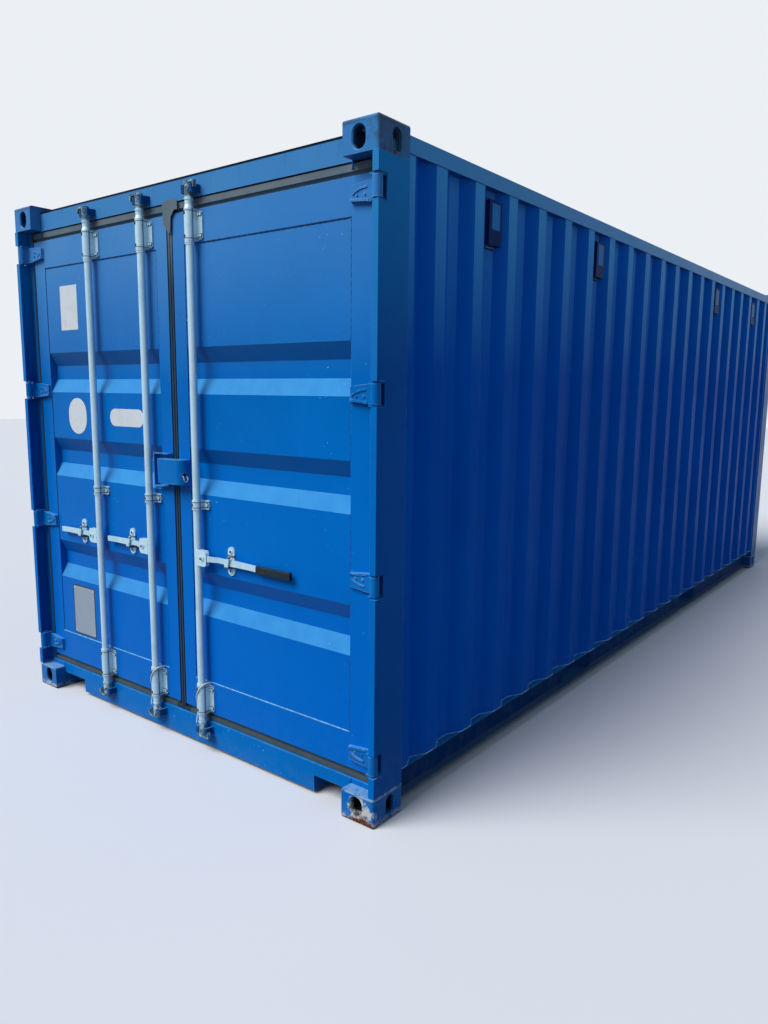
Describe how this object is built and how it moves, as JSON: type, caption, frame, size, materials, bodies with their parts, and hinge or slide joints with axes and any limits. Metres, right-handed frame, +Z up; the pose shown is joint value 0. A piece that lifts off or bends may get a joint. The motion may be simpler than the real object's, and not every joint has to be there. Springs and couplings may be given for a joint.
{
  "type": "shipping container",
  "caption": "Twenty foot steel dry-cargo container with corrugated walls, corner castings and hinged double end doors with locking rods.",
  "frame": {"origin": "on the ground plane at the middle of the base, under the bottom corner castings", "axes": "+X along the length towards the closed front end, the doors are at -X; +Z up"},
  "size_m": [6.058, 2.438, 2.591],
  "materials": {
    "blue_paint": "gloss",
    "galvanised": "satin",
    "seal_rubber": "matte",
    "grip_rubber": "satin",
    "plywood": "satin",
    "rope": "matte"
  },
  "bodies": {
    "container": {"top_corner_castings": "blue_paint", "bottom_corner_castings": "blue_paint", "rear_post_left": "blue_paint", "rear_post_right": "blue_paint", "front_posts": "blue_paint", "door_header": "blue_paint", "door_sill": "blue_paint", "front_top_rail": "blue_paint", "front_sill": "blue_paint", "top_side_rails": "blue_paint", "bottom_side_rail_left": "blue_paint", "bottom_side_rail_right": "blue_paint", "side_wall_left": "blue_paint", "side_wall_right": "blue_paint", "front_wall": "blue_paint", "roof_panel": "blue_paint", "roof_corner_plates": "blue_paint", "cross_members": "blue_paint", "forklift_pockets": "blue_paint", "floor_boards": "plywood", "side_vents": "blue_paint", "hinge_pins": "blue_paint", "cam_keepers": "blue_paint"},
    "left_door": {"left_door_frame": "blue_paint", "left_door_panel": "blue_paint", "left_door_gasket": "seal_rubber", "left_door_hinges": "blue_paint", "left_rod_brackets": "galvanised", "left_handle_catches": "galvanised", "left_lock_plate": "blue_paint", "tie_rope_left": "rope"},
    "right_door": {"right_door_frame": "blue_paint", "right_door_panel": "blue_paint", "right_door_gasket": "seal_rubber", "right_door_hinges": "blue_paint", "right_rod_brackets": "galvanised", "right_handle_catch": "galvanised", "right_lock_box": "blue_paint", "tie_rope_right": "rope"},
    "rod_a": {"lock_rod_a": "galvanised"},
    "rod_b": {"lock_rod_b": "galvanised"},
    "rod_c": {"lock_rod_c": "galvanised"},
    "grip_a": {"handle_a": "galvanised"},
    "grip_b": {"handle_b": "galvanised"},
    "grip_c": {"handle_c": "galvanised", "handle_grip": "grip_rubber"}
  },
  "joints": [
    {"name": "right_door_hinge", "type": "hinge", "parent": "container", "child": "right_door", "pos_m": [-3.008, -1.198, 1.3], "axis": [0, 0, 1], "range_deg": [0, 262]},
    {"name": "left_door_hinge", "type": "hinge", "parent": "container", "child": "left_door", "pos_m": [-3.008, 1.198, 1.3], "axis": [0, 0, -1], "range_deg": [0, 262]},
    {"name": "rod_a_turn", "type": "hinge", "parent": "left_door", "child": "rod_a", "pos_m": [-3, 0.597, 1.3], "axis": [0, 0, -1], "range_deg": [-105, 0]},
    {"name": "rod_b_turn", "type": "hinge", "parent": "left_door", "child": "rod_b", "pos_m": [-3, 0.168, 1.3], "axis": [0, 0, -1], "range_deg": [-105, 0]},
    {"name": "rod_c_turn", "type": "hinge", "parent": "right_door", "child": "rod_c", "pos_m": [-3, -0.179, 1.3], "axis": [0, 0, 1], "range_deg": [-105, 0]},
    {"name": "handle_a_lift", "type": "hinge", "parent": "rod_a", "child": "grip_a", "pos_m": [-3.007, 0.643, 0.925], "axis": [-1, 0, 0], "range_deg": [-20, 0]},
    {"name": "handle_b_lift", "type": "hinge", "parent": "rod_b", "child": "grip_b", "pos_m": [-3.007, 0.214, 0.925], "axis": [-1, 0, 0], "range_deg": [-20, 0]},
    {"name": "handle_c_lift", "type": "hinge", "parent": "rod_c", "child": "grip_c", "pos_m": [-3.007, -0.225, 0.925], "axis": [1, 0, 0], "range_deg": [-20, 0]}
  ]
}
